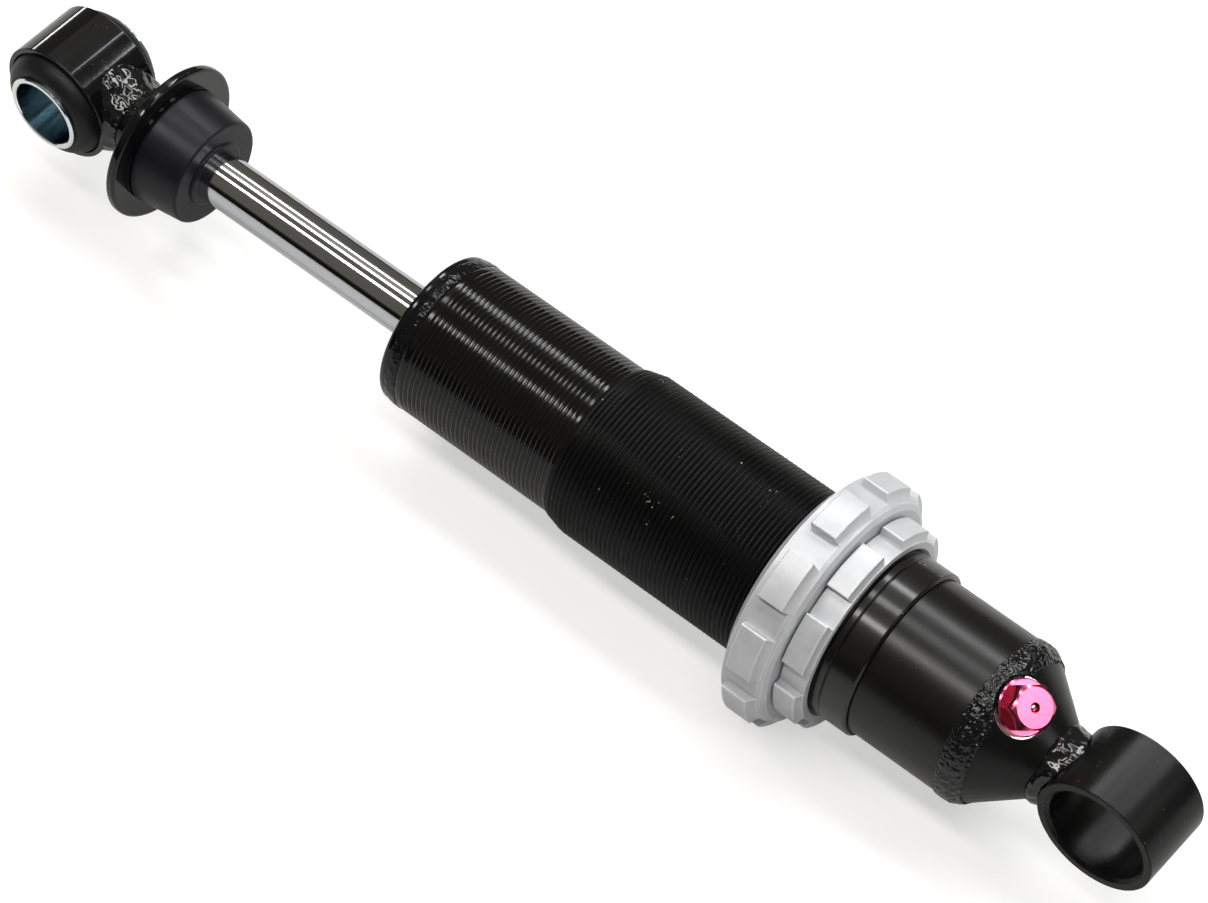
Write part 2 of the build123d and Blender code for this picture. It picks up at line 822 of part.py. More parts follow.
# fillet of weld metal, kept within the eye's width
with BuildPart() as rod_eye_weld:
    crown_x = rod_eye_x + sqrt(rod_eye_r**2 - eye_weld_r**2)
    neck_meets_x = rod_eye_x + rod_eye_r
    turn(
        [
            (rod_eye_x + rod_eye_r / 2, rod_neck_r),
            (rod_eye_x + rod_eye_r / 2, eye_weld_r),
            (crown_x + eye_weld_crown, eye_weld_r),
            (neck_meets_x + 0.2 * eye_weld_run, rod_neck_r + 0.3 * eye_weld_run),
            (neck_meets_x + eye_weld_run, rod_neck_r),
        ]
    )
    eye_cylinder(rod_eye_x, rod_eye_r, 2 * rod_eye_half, Mode.SUBTRACT)
    with BuildSketch(Plane.XY) as width_limit:
        with Locations((rod_eye_x + rod_eye_r, 0)):
            Rectangle(4 * rod_eye_r, 2 * (rod_eye_half + eye_weld_over))
    extrude(width_limit.sketch.faces(), amount=2 * rod_eye_r, both=True, mode=Mode.INTERSECT)
save(rod_eye_weld, "rod_eye_weld")

with BuildPart() as rod_eye:
    eye_cylinder(rod_eye_x, rod_eye_r, rod_eye_half)
    eye_cylinder(rod_eye_x, rod_eye_bore_r, rod_eye_half, Mode.SUBTRACT)
    chamfer(round_edges(rod_eye, rod_eye_bore_r, rod_eye_bore_r), rod_eye_mouth)
    fillet(round_edges(rod_eye, rod_eye_r, rod_eye_r), eye_edge)
save(rod_eye, "rod_eye")

# bush and sleeve turn about the eye's own axis, their outlines are (r, y)
eye_axis = Axis((rod_eye_x, 0, 0), (0, 1, 0))
eye_plane = Plane(origin=(rod_eye_x, 0, 0), x_dir=(1, 0, 0), z_dir=(0, 0, 1))
with BuildPart() as rod_eye_bush:
    nose_r = bush_in_r + bush_nose_t
    nose_y = rod_eye_half + bush_stand
    with BuildSketch(eye_plane):
        with BuildLine():
            Polyline((bush_in_r, 0), (bush_in_r, nose_y), (nose_r, nose_y))
            ThreePointArc(
                (nose_r, nose_y),
                (nose_r + 0.7 * (rod_eye_bore_r - nose_r), rod_eye_half + 0.58 * bush_stand),
                (rod_eye_bore_r, rod_eye_half),
            )
            Polyline((rod_eye_bore_r, rod_eye_half), (rod_eye_bore_r, 0), (bush_in_r, 0))
        make_face()
        mirror(about=Plane.XZ)
    revolve(axis=eye_axis)
save(rod_eye_bush, "rod_eye_bush")

with BuildPart() as rod_eye_sleeve:
    eye_cylinder(rod_eye_x, eye_sleeve_r, eye_sleeve_half)
    eye_cylinder(rod_eye_x, eye_sleeve_bore_r, eye_sleeve_half, Mode.SUBTRACT)
    chamfer(rod_eye_sleeve.edges().filter_by(GeomType.CIRCLE), eye_sleeve_edge)
save(rod_eye_sleeve, "rod_eye_sleeve")
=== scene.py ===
import math

import bmesh
import bpy
from mathutils import Matrix, Vector, noise


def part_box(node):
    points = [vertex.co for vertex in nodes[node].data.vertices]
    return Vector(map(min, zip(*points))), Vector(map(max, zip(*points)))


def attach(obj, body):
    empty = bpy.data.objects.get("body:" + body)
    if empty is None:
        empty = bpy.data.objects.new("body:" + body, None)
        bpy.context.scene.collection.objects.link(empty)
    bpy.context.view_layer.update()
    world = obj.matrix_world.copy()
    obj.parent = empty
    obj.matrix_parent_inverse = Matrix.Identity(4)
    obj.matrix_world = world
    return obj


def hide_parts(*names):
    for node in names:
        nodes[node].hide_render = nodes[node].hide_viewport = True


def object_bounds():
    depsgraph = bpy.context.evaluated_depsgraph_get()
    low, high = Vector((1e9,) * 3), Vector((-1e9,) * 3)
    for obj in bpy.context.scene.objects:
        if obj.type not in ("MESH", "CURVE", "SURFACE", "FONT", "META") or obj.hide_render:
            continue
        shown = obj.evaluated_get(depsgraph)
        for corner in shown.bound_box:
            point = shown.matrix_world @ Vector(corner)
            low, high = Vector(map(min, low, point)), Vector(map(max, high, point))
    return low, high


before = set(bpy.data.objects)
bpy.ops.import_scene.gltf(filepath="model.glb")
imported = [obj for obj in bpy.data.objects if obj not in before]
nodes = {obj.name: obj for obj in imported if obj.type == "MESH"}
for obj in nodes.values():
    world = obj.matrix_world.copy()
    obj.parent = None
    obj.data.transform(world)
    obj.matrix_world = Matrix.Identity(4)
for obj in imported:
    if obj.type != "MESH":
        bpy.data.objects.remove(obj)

cad_low, cad_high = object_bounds()
middle = (cad_low + cad_high) / 2
tube_low, tube_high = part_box("body_tube")
sleeve_low, sleeve_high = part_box("thread_sleeve")
eye_sleeve_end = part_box("rod_eye_sleeve")[1].y

MM = 0.001
WHITE = (1.0, 1.0, 1.0)
COLLAR = 8.8 * MM  # plain end of the threaded sleeve
collar_from = sleeve_high.x - COLLAR


def centre(name):
    """Middle of a CAD node's box."""
    return sum(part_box(name), Vector()) / 2


def map_range(tree, value, low, high, out_low, out_high):
    """The value carried from low..high to out_low..out_high, held at the ends."""
    node = tree.nodes.new("ShaderNodeMapRange")
    names = ("From Min", "From Max", "To Min", "To Max")
    for name, number in zip(names, (low, high, out_low, out_high)):
        node.inputs[name].default_value = number
    tree.links.new(value, node.inputs["Value"])
    return node.outputs["Result"]


# ---------------------------------------------------------------- camera
CAMERA_AT = (0.19852, -0.46842, 0.78559)
CAMERA_RIGHT = (0.7679, 0.6387, 0.0493)
CAMERA_UP = (-0.5384, 0.6018, 0.5899)
CAMERA_BACK = (0.3471, -0.4795, 0.8060)
LENS_MM = 132.0
SENSOR_MM = 36.0


def make_camera():
    data = bpy.data.cameras.new("camera")
    data.lens = LENS_MM
    data.sensor_width = SENSOR_MM
    camera = bpy.data.objects.new("camera", data)
    bpy.context.scene.collection.objects.link(camera)
    rounded = Matrix((CAMERA_RIGHT, CAMERA_UP, CAMERA_BACK)).transposed()
    square = rounded.to_quaternion().to_matrix()
    camera.matrix_world = Matrix.Translation(CAMERA_AT) @ square.to_4x4()
    bpy.context.scene.camera = camera


# ---------------------------------------------------------------- light and floor
BACKDROP = 0.95  # what the camera sees past the floor
ROOM_COLOUR = (1.0, 0.94, 0.80, 1)
ROOM_UP = (0, 0.12, 1)
ROOM_FROM, ROOM_TO = 0.12, 0.26  # how far up the room starts and ends to brighten
ROOM_DIM, ROOM_BRIGHT = 0.01, 0.15

FLOOR_HALF = 1.6
FLOOR_GAP = 0.5 * MM  # under the part's lowest point
FLOOR_GREY = (0.55, 0.55, 0.55, 1)
GLOW_IN_REFLECTIONS, GLOW_SEEN = 0.08, 0.56  # the floor's own light

ALONG_SHOCK = (1, 0, 0)
ALONG_EYES = (0, 1, 0)


def area_light(name, target, direction, distance, length, width, radiance, colour, along):
    """A soft box that faces target from a direction, its long side as near to along as can be."""
    data = bpy.data.lights.new(name, "AREA")
    data.shape = "RECTANGLE"
    data.size = length
    data.size_y = width
    data.energy = radiance * math.pi * length * width
    data.color = colour
    light = bpy.data.objects.new(name, data)
    bpy.context.scene.collection.objects.link(light)
    light.visible_camera = False
    out = Vector(direction).normalized()
    across = out.cross(Vector(along)).normalized()
    side = across.cross(out).normalized()
    turn = Matrix((side, across, out)).transposed()
    light.matrix_world = Matrix.Translation(Vector(target) + out * distance) @ turn.to_4x4()


def make_world():
    """A white backdrop for the camera, and for all else a room that is dim below and brighter above."""
    world = bpy.data.worlds.new("room")
    bpy.context.scene.world = world
    world.use_nodes = True
    tree = world.node_tree
    tree.nodes.clear()
    out = tree.nodes.new("ShaderNodeOutputWorld")
    mix = tree.nodes.new("ShaderNodeMixShader")
    seen = tree.nodes.new("ShaderNodeBackground")
    room = tree.nodes.new("ShaderNodeBackground")
    path = tree.nodes.new("ShaderNodeLightPath")
    place = tree.nodes.new("ShaderNodeTexCoord")
    lean = tree.nodes.new("ShaderNodeVectorMath")
    lean.operation = "DOT_PRODUCT"
    lean.inputs[1].default_value = ROOM_UP
    tree.links.new(place.outputs["Generated"], lean.inputs[0])
    strength = map_range(tree, lean.outputs["Value"], ROOM_FROM, ROOM_TO, ROOM_DIM, ROOM_BRIGHT)
    tree.links.new(strength, room.inputs["Strength"])
    room.inputs["Color"].default_value = ROOM_COLOUR
    seen.inputs["Color"].default_value = (*WHITE, 1)
    seen.inputs["Strength"].default_value = BACKDROP
    tree.links.new(path.outputs["Is Camera Ray"], mix.inputs["Fac"])
    tree.links.new(room.outputs[0], mix.inputs[1])
    tree.links.new(seen.outputs[0], mix.inputs[2])
    tree.links.new(mix.outputs[0], out.inputs["Surface"])


def make_floor():
    """A pale floor, brighter to the camera than in reflections."""
    bm = bmesh.new()
    z = cad_low.z - FLOOR_GAP
    corners = [(-1, -1), (1, -1), (1, 1), (-1, 1)]
    places = [(middle.x + x * FLOOR_HALF, middle.y + y * FLOOR_HALF, z) for x, y in corners]
    bm.faces.new([bm.verts.new(place) for place in places])
    mesh = bpy.data.meshes.new("floor")
    bm.to_mesh(mesh)
    bm.free()
    floor = bpy.data.objects.new("floor", mesh)
    bpy.context.scene.collection.objects.link(floor)
    material = bpy.data.materials.new("floor")
    material.use_nodes = True
    tree = material.node_tree
    shader = tree.nodes["Principled BSDF"]
    shader.inputs["Base Color"].default_value = FLOOR_GREY
    shader.inputs["Roughness"].default_value = 0.9
    shader.inputs["Specular IOR Level"].default_value = 0.0
    shader.inputs["Emission Color"].default_value = (*WHITE, 1)
    seen = tree.nodes.new("ShaderNodeLightPath").outputs["Is Camera Ray"]
    glow = map_range(tree, seen, 0.0, 1.0, GLOW_IN_REFLECTIONS, GLOW_SEEN)
    tree.links.new(glow, shader.inputs["Emission Strength"])
    mesh.materials.append(material)


# ---------------------------------------------------------------- material helpers
class Nodes:
    """A material's node tree, with short calls for the nodes that the finishes share.

    Scales are counts per metre and distances are metres.
    """

    def __init__(self, name):
        self.material = bpy.data.materials.new(name)
        self.material.use_nodes = True
        self.tree = self.material.node_tree
        self.shader = self.tree.nodes["Principled BSDF"]
        self.place = self.new("ShaderNodeTexCoord").outputs["Object"]

    def new(self, kind, **settings):
        node = self.tree.nodes.new(kind)
        for key, value in settings.items():
            setattr(node, key, value)
        return node

    def put(self, socket, value):
        """Gives a socket a number, a vector, a colour or the output of another node."""
        if isinstance(value, bpy.types.NodeSocket):
            self.tree.links.new(value, socket)
        elif socket.type == "RGBA":
            socket.default_value = (*value, 1)
        else:
            socket.default_value = value

    def set(self, **values):
        """Gives the shader's inputs their values: Coat_Weight stands for Coat Weight."""
        for key, value in values.items():
            self.put(self.shader.inputs[key.replace("_", " ")], value)

    def stretched(self, scale):
        """Coordinates scaled along each axis."""
        node = self.new("ShaderNodeMapping")
        self.put(node.inputs["Scale"], scale)
        self.put(node.inputs["Vector"], self.place)
        return node.outputs["Vector"]

    def axis(self, name, at=None):
        """One coordinate."""
        node = self.new("ShaderNodeSeparateXYZ")
        self.put(node.inputs[0], at or self.place)
        return node.outputs[name]

    def noise(self, scale, detail=4.0, rough=0.55, at=None):
        node = self.new("ShaderNodeTexNoise")
        self.put(node.inputs["Scale"], scale)
        self.put(node.inputs["Detail"], detail)
        self.put(node.inputs["Roughness"], rough)
        self.put(node.inputs["Vector"], at or self.place)
        return node.outputs["Fac"]

    def ramp(self, value, low, high, out_low=0.0, out_high=1.0):
        return map_range(self.tree, value, low, high, out_low, out_high)

    def spread(self, value, out_low=0.0, out_high=1.0):
        """A noise carried to out_low..out_high, from the range that holds nearly all of it."""
        return self.ramp(value, 0.3, 0.7, out_low, out_high)

    def math(self, operation, a, b=0.0):
        node = self.new("ShaderNodeMath", operation=operation)
        self.put(node.inputs[0], a)
        self.put(node.inputs[1], b)
        return node.outputs[0]

    def specks(self, scale, core, edge, where):
        """Round spots, full within core and gone at edge in parts of a cell, only where a mask says."""
        cells = self.new("ShaderNodeTexVoronoi")
        self.put(cells.inputs["Scale"], scale)
        self.put(cells.inputs["Vector"], self.place)
        spots = self.ramp(cells.outputs["Distance"], core, edge, 1.0, 0.0)
        return self.math("MULTIPLY", spots, where)

    def mix(self, share, first, second, kind="RGBA"):
        """First and second mixed, with the share that second has."""
        node = self.new("ShaderNodeMix", data_type=kind)
        self.put(node.inputs["A"], first)
        self.put(node.inputs["B"], second)
        self.put(node.inputs["Factor"], share)
        return node.outputs["Result"]

    def bump(self, height, distance, strength, after=None):
        """Bump on the shader's normal, over an earlier one if there is one."""
        node = self.new("ShaderNodeBump")
        self.put(node.inputs["Strength"], strength)
        self.put(node.inputs["Distance"], distance)
        self.put(node.inputs["Height"], height)
        if after is not None:
            self.put(node.inputs["Normal"], after)
        self.set(Normal=node.outputs["Normal"])
        return node.outputs["Normal"]

    def painted_edge_highlight(self, radius):
        """1 along outer edges, broken up by noise: where a highlight is painted on the edges."""
        bevel = self.new("ShaderNodeBevel", samples=4)
        self.put(bevel.inputs["Radius"], radius)
        geometry = self.new("ShaderNodeNewGeometry")
        gap = self.new("ShaderNodeVectorMath", operation="DISTANCE")
        self.put(gap.inputs[0], bevel.outputs["Normal"])
        self.put(gap.inputs[1], geometry.outputs["Normal"])
        broken = self.math("MULTIPLY", gap.outputs["Value"], self.noise(900.0, 3.0))
        return self.ramp(broken, 0.02, 0.12)


# ---------------------------------------------------------------- finishes
DUST = (0.32, 0.32, 0.34)
BARE_ALUMINIUM = (0.82, 0.82, 0.83)
SPOT_R = 6.6 * MM  # face cut bare round the gas valve screw
SPOT_EDGE = 0.1 * MM
SPOT_DEPTH = -2 * MM  # the cut face lies above this along the screw


def valve_coordinates(m):
    """Coordinates with Z out along the gas valve screw, from its O-ring."""
    inner = centre("valve_o_ring")
    out = (centre("valve_ball") - inner).normalized()
    node = m.new("ShaderNodeMapping", vector_type="TEXTURE")
    m.put(node.inputs["Location"], inner)
    m.put(node.inputs["Rotation"], out.to_track_quat("Z", "Y").to_euler())
    m.put(node.inputs["Vector"], m.place)
    return node.outputs["Vector"]


def bare_face(m, paint, rough):
    """Paint with bare metal where the gas valve screw's face is cut."""
    at = valve_coordinates(m)
    x2 = m.math("POWER", m.axis("X", at), 2.0)
    y2 = m.math("POWER", m.axis("Y", at), 2.0)
    away = m.math("SQRT", m.math("ADD", x2, y2))
    near = m.ramp(away, SPOT_R, SPOT_R + SPOT_EDGE, 1.0, 0.0)
    above = m.ramp(m.axis("Z", at), SPOT_DEPTH - 1 * MM, SPOT_DEPTH)
    bare = m.math("MULTIPLY", near, above)
    m.set(Base_Color=m.mix(bare, paint, BARE_ALUMINIUM), Metallic=bare)
    m.set(Roughness=m.mix(bare, rough, 0.25, "FLOAT"))


def black_paint(name, dark, light, rough, peel_mm, coat, shine, cut=False):
    """Black paint: slight orange peel, soft patches of gloss, fine dust."""
    m = Nodes(name)
    patches = m.noise(90.0, 5.0)
    dusty = m.specks(900.0, 0.0, 0.16, m.ramp(m.noise(260.0, 2.0), 0.56, 0.66))
    paint = m.mix(m.math("MULTIPLY", dusty, 0.7), m.mix(patches, dark, light), DUST)
    roughness = m.spread(patches, *rough)
    if cut:
        bare_face(m, paint, roughness)
    else:
        m.set(Base_Color=paint, Roughness=roughness)
    waves = m.bump(m.noise(650.0, 2.0), peel_mm * MM, 0.5)
    m.bump(m.noise(5200.0, 2.0), 0.004 * MM, 0.5, waves)
    m.set(Coat_Weight=coat, Coat_Roughness=0.05, Specular_IOR_Level=shine)
    return m.material


def weld_paint(name, bump_mm, shine):
    """Black paint over weld metal: glossy, with its finest roughness as bump."""
    m = Nodes(name)
    grain = m.noise(1500.0, 4.0)
    m.set(Base_Color=m.mix(grain, (0.0025, 0.0025, 0.003), (0.008, 0.008, 0.009)))
    m.set(Roughness=m.spread(grain, 0.08, 0.16))
    m.bump(m.noise(1300.0, 2.0, 0.5), bump_mm * MM, 0.8)
    m.set(Coat_Weight=0.1, Coat_Roughness=0.05, Specular_IOR_Level=shine)
    return m.material


def tube_paint():
    """Satin black over turned metal with faint circular tool marks, duller on the foot."""
    m = Nodes("tube_paint")
    patches = m.noise(70.0, 5.0)
    m.set(Base_Color=m.mix(patches, (0.0030, 0.0028, 0.0028), (0.0060, 0.0056, 0.0056)))
    foot = m.ramp(m.axis("X"), sleeve_high.x - 1 * MM, sleeve_high.x, 0.0, 0.16)
    m.set(Roughness=m.math("ADD", m.spread(patches, 0.10, 0.15), foot))
    marks = m.bump(m.noise(1.0, 3.0, 0.6, m.stretched((2600.0, 60.0, 60.0))), 0.004 * MM, 0.5)
    m.bump(m.noise(3000.0, 2.0), 0.006 * MM, 0.5, marks)
    m.set(Specular_IOR_Level=0.32)
    return m.material


def thread_paint():
    """Dull black coated thread with scattered bright specks painted in as glints, glossier on the plain
    collar.
    """
    m = Nodes("thread_coating")
    patches = m.noise(60.0, 4.0)
    # Scattered bright specks painted into the colour as glints.
    painted_glints = m.specks(900.0, 0.1, 0.2, m.ramp(m.noise(150.0, 3.0), 0.63, 0.67))
    black = m.mix(patches, (0.0016, 0.0014, 0.0014), (0.0032, 0.0030, 0.0030))
    m.set(Base_Color=m.mix(painted_glints, black, (0.6, 0.59, 0.57)))
    m.set(Roughness=m.spread(patches, 0.34, 0.46))
    m.bump(m.noise(2600.0, 3.0), 0.02 * MM, 0.5)
    collar = m.ramp(m.axis("X"), collar_from - 0.2 * MM, collar_from, 0.0, 0.7)
    m.set(Coat_Weight=collar, Coat_Roughness=0.16, Specular_IOR_Level=0.14)
    return m.material


def hard_chrome():
    """Polished chrome with very faint lengthwise polishing lines."""
    m = Nodes("hard_chrome")
    lines = m.noise(1.0, 3.0, 0.5, m.stretched((12.0, 2500.0, 2500.0)))
    m.set(Base_Color=m.mix(lines, (0.50, 0.51, 0.53), (0.58, 0.59, 0.61)))
    m.set(Roughness=m.spread(lines, 0.05, 0.10), Metallic=1.0)
    return m.material


def zinc_plate():
    """Bluish zinc in a turned bore, with its end faces painted brighter as a highlight."""
    m = Nodes("zinc_plate")
    turned = m.noise(1.0, 4.0, 0.6, m.stretched((700.0, 60.0, 700.0)))
    # The end faces are painted near white as a highlight.
    painted_rim_highlight = m.ramp(m.math("ABSOLUTE", m.axis("Y")), eye_sleeve_end - 0.3 * MM, eye_sleeve_end - 0.2 * MM)
    bore = m.mix(turned, (0.27, 0.36, 0.40), (0.38, 0.47, 0.51))
    m.set(Base_Color=m.mix(painted_rim_highlight, bore, (0.90, 0.93, 0.92)))
    m.set(Roughness=m.spread(turned, 0.12, 0.2), Metallic=1.0)
    m.bump(turned, 0.003 * MM, 0.4)
    return m.material


def rubber(name, dark, light, rough, sheen):
    """Moulded rubber or plastic with a slight bloom and a fine skin."""
    m = Nodes(name)
    bloom = m.noise(120.0, 5.0, 0.6)
    m.set(Base_Color=m.mix(bloom, dark, light), Roughness=m.spread(bloom, *rough))
    skin = m.bump(m.noise(2400.0, 3.0), 0.012 * MM, 0.6)
    m.bump(m.noise(300.0, 2.0), 0.02 * MM, 0.4, skin)
    m.set(Sheen_Weight=sheen, Sheen_Roughness=0.4, Specular_IOR_Level=0.22)
    return m.material


def cast_grey():
    """Light grey satin coat over a casting: mottled, slightly granular, edges painted brighter as a
    highlight, a few pits.
    """
    m = Nodes("cast_grey")
    mottle = m.noise(180.0, 6.0, 0.6)
    coat = m.mix(m.spread(mottle), (0.49, 0.50, 0.52), (0.58, 0.59, 0.61))
    # Outer edges painted near white as a highlight.
    edges = m.math("MULTIPLY", m.painted_edge_highlight(0.22 * MM), 0.7)
    edged = m.mix(edges, coat, (0.92, 0.93, 0.95))
    pits = m.specks(700.0, 0.0, 0.12, m.ramp(m.noise(150.0, 2.0), 0.58, 0.66))
    m.set(Base_Color=m.mix(m.math("MULTIPLY", pits, 0.5), edged, (0.2, 0.2, 0.2)))
    m.set(Roughness=m.spread(mottle, 0.34, 0.48), Metallic=0.2)
    grain = m.bump(m.noise(2600.0, 4.0, 0.6), 0.03 * MM, 0.5)
    m.bump(m.noise(500.0, 3.0), 0.03 * MM, 0.4, grain)
    return m.material


def red_anodised():
    """Pink-red anodised aluminium, its face turned in fine circles."""
    m = Nodes("red_anodised")
    rings = m.new("ShaderNodeTexWave", wave_type="RINGS", rings_direction="Z")
    m.put(rings.inputs["Scale"], 1200.0)
    m.put(rings.inputs["Distortion"], 0.0)
    m.put(rings.inputs["Vector"], valve_coordinates(m))
    tone = m.noise(700.0, 3.0)
    m.set(Base_Color=m.mix(tone, (0.68, 0.065, 0.17), (0.76, 0.09, 0.21)))
    m.set(Roughness=m.spread(tone, 0.14, 0.22), Metallic=1.0)
    m.bump(rings.outputs["Fac"], 0.008 * MM, 0.6)
    m.set(Coat_Weight=1.0, Coat_Roughness=0.15)
    return m.material


def bright_steel():
    """Polished steel ball with fine scratches."""
    m = Nodes("bright_ball")
    scratches = m.noise(4000.0, 3.0)
    m.set(Base_Color=m.mix(scratches, (0.74, 0.74, 0.75), (0.86, 0.86, 0.87)))
    m.set(Roughness=m.spread(scratches, 0.08, 0.16), Metallic=1.0)
    return m.material


def machined(name, dark, light, rough):
    """Bare metal with tool marks round X."""
    m = Nodes(name)
    turned = m.noise(1.0, 4.0, 0.6, m.stretched((2200.0, 80.0, 80.0)))
    m.set(Base_Color=m.mix(turned, dark, light), Roughness=m.spread(turned, *rough), Metallic=1.0)
    m.bump(turned, 0.005 * MM, 0.4)
    return m.material


GLOSS = ((0.0022, 0.0022, 0.0026), (0.0050, 0.0050, 0.0058), (0.07, 0.13), 0.02, 0.2)
SATIN = ((0.0028, 0.0027, 0.0028), (0.0060, 0.0058, 0.0062), (0.26, 0.34), 0.012, 0.0)
gloss_black = black_paint("gloss_black", *GLOSS, shine=0.3)
satin_black = black_paint("satin_black", *SATIN, shine=0.2)
cone_black = black_paint("cone_black", *SATIN, shine=0.22, cut=True)
rough_weld = weld_paint("rough_weld", 0.09, 0.3)
fine_weld = weld_paint("fine_weld", 0.035, 0.15)
smooth_weld = weld_paint("smooth_weld", 0.006, 0.5)
tube_black = tube_paint()
thread_black = thread_paint()
bush_rubber = rubber("bush_rubber", (0.0050, 0.0050, 0.0055), (0.0095, 0.0095, 0.0105), (0.36, 0.5), 0.05)
bump_rubber = rubber("bump_rubber", (0.0045, 0.0045, 0.0070), (0.0085, 0.0085, 0.0125), (0.30, 0.42), 0.03)
seal_rubber = rubber("seal_rubber", (0.010, 0.010, 0.010), (0.018, 0.018, 0.018), (0.45, 0.6), 0.0)
grey = cast_grey()
aluminium = machined("turned_aluminium", (0.62, 0.63, 0.65), (0.78, 0.79, 0.81), (0.22, 0.36))
bronze = machined("bearing_bronze", (0.45, 0.33, 0.16), (0.58, 0.45, 0.24), (0.3, 0.45))
inner_steel = machined("inner_steel", (0.45, 0.45, 0.47), (0.6, 0.6, 0.62), (0.25, 0.4))
band_plastic = rubber("band_plastic", (0.24, 0.18, 0.11), (0.34, 0.27, 0.18), (0.45, 0.6), 0.0)

FINISHES = (
    (gloss_black, "rod_eye", "rod_eye_neck", "bump_flange", "top_cap"),
    (satin_black, "body_eye"),
    (cone_black, "end_cone"),
    (hard_chrome(), "piston_rod"),
    (zinc_plate(), "rod_eye_sleeve"),
    (bush_rubber, "rod_eye_bush"),
    (bump_rubber, "bump_stop"),
    (grey, "preload_ring", "lock_ring"),
    (red_anodised(), "gas_valve_screw"),
    (bright_steel(), "valve_ball"),
    (aluminium, "rod_guide", "piston", "floating_piston"),
    (bronze, "guide_bush"),
    (band_plastic, "piston_band", "floating_piston_band"),
    (inner_steel, "guide_circlip", "topout_washer", "compression_shims", "rebound_shims"),
    (inner_steel, "piston_backup_washer", "piston_nut"),
    (seal_rubber, "rod_seal", "guide_o_ring", "valve_o_ring", "floating_piston_o_ring"),
    (seal_rubber, "topout_bumper", "rod_wiper"),
)
for finish, *names in FINISHES:
    for name in names:
        for slot in nodes[name].material_slots:
            slot.material = finish


# ---------------------------------------------------------------- turned pieces
def add_piece(name, mesh, body, material, slot, *stands_for, sharp_deg=40.0):
    """Shades the mesh, gives it its finish and puts it in place of its CAD nodes."""
    mesh.materials.clear()
    mesh.materials.append(material)
    mesh.shade_smooth()
    mesh.set_sharp_from_angle(angle=math.radians(sharp_deg))
    piece = bpy.data.objects.new(name, mesh)
    bpy.context.scene.collection.objects.link(piece)
    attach(piece, body)
    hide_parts(*stands_for)


def lathe(name, outline, around, radius_at):
    """A closed ring turned about X from (x, r) corners in metres. radius_at changes r at an angle."""
    bm = bmesh.new()
    rows = []
    for i, (x, r) in enumerate(outline):
        row = []
        for k in range(around):
            angle = 2 * math.pi * k / around
            radius = radius_at(i, x, r, angle)
            row.append(bm.verts.new((x, radius * math.cos(angle), radius * math.sin(angle))))
        rows.append(row)
    for i, row in enumerate(rows):
        after = rows[(i + 1) % len(rows)]
        for k in range(around):
            k2 = (k + 1) % around
            bm.faces.new((row[k], row[k2], after[k2], after[k]))
    bmesh.ops.recalc_face_normals(bm, faces=bm.faces)
    mesh = bpy.data.meshes.new(name)
    bm.to_mesh(mesh)
    bm.free()
    return mesh


PITCH = 1.27 * MM


def helix_rows(x_from, x_to, per_pitch):
    """Places along a threaded length, close enough to carry the thread."""
    count = int(round((x_to - x_from) / PITCH * per_pitch))
    return [x_from + (x_to - x_from) * i / count for i in range(count + 1)]


def share_of(x, x_from, run):
    """How far x is along a run, from 0 to 1."""
    return min(1.0, max(0.0, (x - x_from) / run))


def ripple(x, angle, x_from, x_to, fade, sharpness):
    """How deep a helical groove is at a point, from 0 on a round crest to 1 in a sharp root."""
    phase = (x - x_from) / PITCH - angle / (2 * math.pi)
    depth = 1.0 - abs(math.cos(math.pi * phase))
    ends = share_of(x, x_from, fade) * min(1.0, max(0.0, (x_to - x) / fade))
    return depth**sharpness * ends


def softened(outline, size):
    """Each inner corner replaced by points beside it, so that flats shade flat and corners turn."""
    points = [outline[0]]
    for before, corner, after in zip(outline, outline[1:], outline[2:]):
        at = Vector(corner)
        back = (Vector(before) - at).normalized()
        on = (Vector(after) - at).normalized()
        beside = (at + back * 2 * size, at + back * size, at + on * size, at + on * 2 * size)
        points += [tuple(point) for point in beside]
    return points + [outline[-1]]


# The tube: a weld bevel, fine helical grooves, and a thicker foot past the sleeve.
foot_r = tube_high.y
PAINT_STEP = 0.45 * MM
TUBE_R = foot_r - PAINT_STEP
TUBE_BORE = 16.0 * MM
TUBE_AROUND = 200
GROOVE_ROWS = 12
GROOVE_DEPTH = 0.3 * MM
PLAIN_END = 2.4 * MM
WELD_HALF = 1.8 * MM
TOP_WELD_DEPTH = 1.5 * MM
FOOT_WELD_DEPTH = 1.9 * MM
FOOT_WELD_RUN = 2.0 * MM
FOOT_CHAMFER = 0.12 * MM
GROOVES_SHORT = 0.3 * MM  # of the sleeve
GROOVE_RUNOUT = 0.2 * MM
TUBE_CORNER = 0.02 * MM

groove_from = tube_low.x + PLAIN_END
groove_to = sleeve_low.x - GROOVES_SHORT
tube_outline = [
    (tube_low.x, TUBE_BORE),
    (tube_low.x, TUBE_R - TOP_WELD_DEPTH),
    (tube_low.x + WELD_HALF, TUBE_R),
]
groove_first = len(tube_outline)
tube_outline += [(x, TUBE_R) for x in helix_rows(groove_from, groove_to, GROOVE_ROWS)]
groove_last = len(tube_outline)
tube_outline += softened(
    [
        (groove_to + GROOVE_RUNOUT, TUBE_R),
        (sleeve_high.x, TUBE_R),
        (sleeve_high.x, foot_r - FOOT_CHAMFER),
        (sleeve_high.x + FOOT_CHAMFER, foot_r),
        (tube_high.x - FOOT_WELD_RUN, foot_r),
        (tube_high.x, foot_r - FOOT_WELD_DEPTH),
        (tube_high.x, TUBE_BORE),
    ],
    TUBE_CORNER,
)


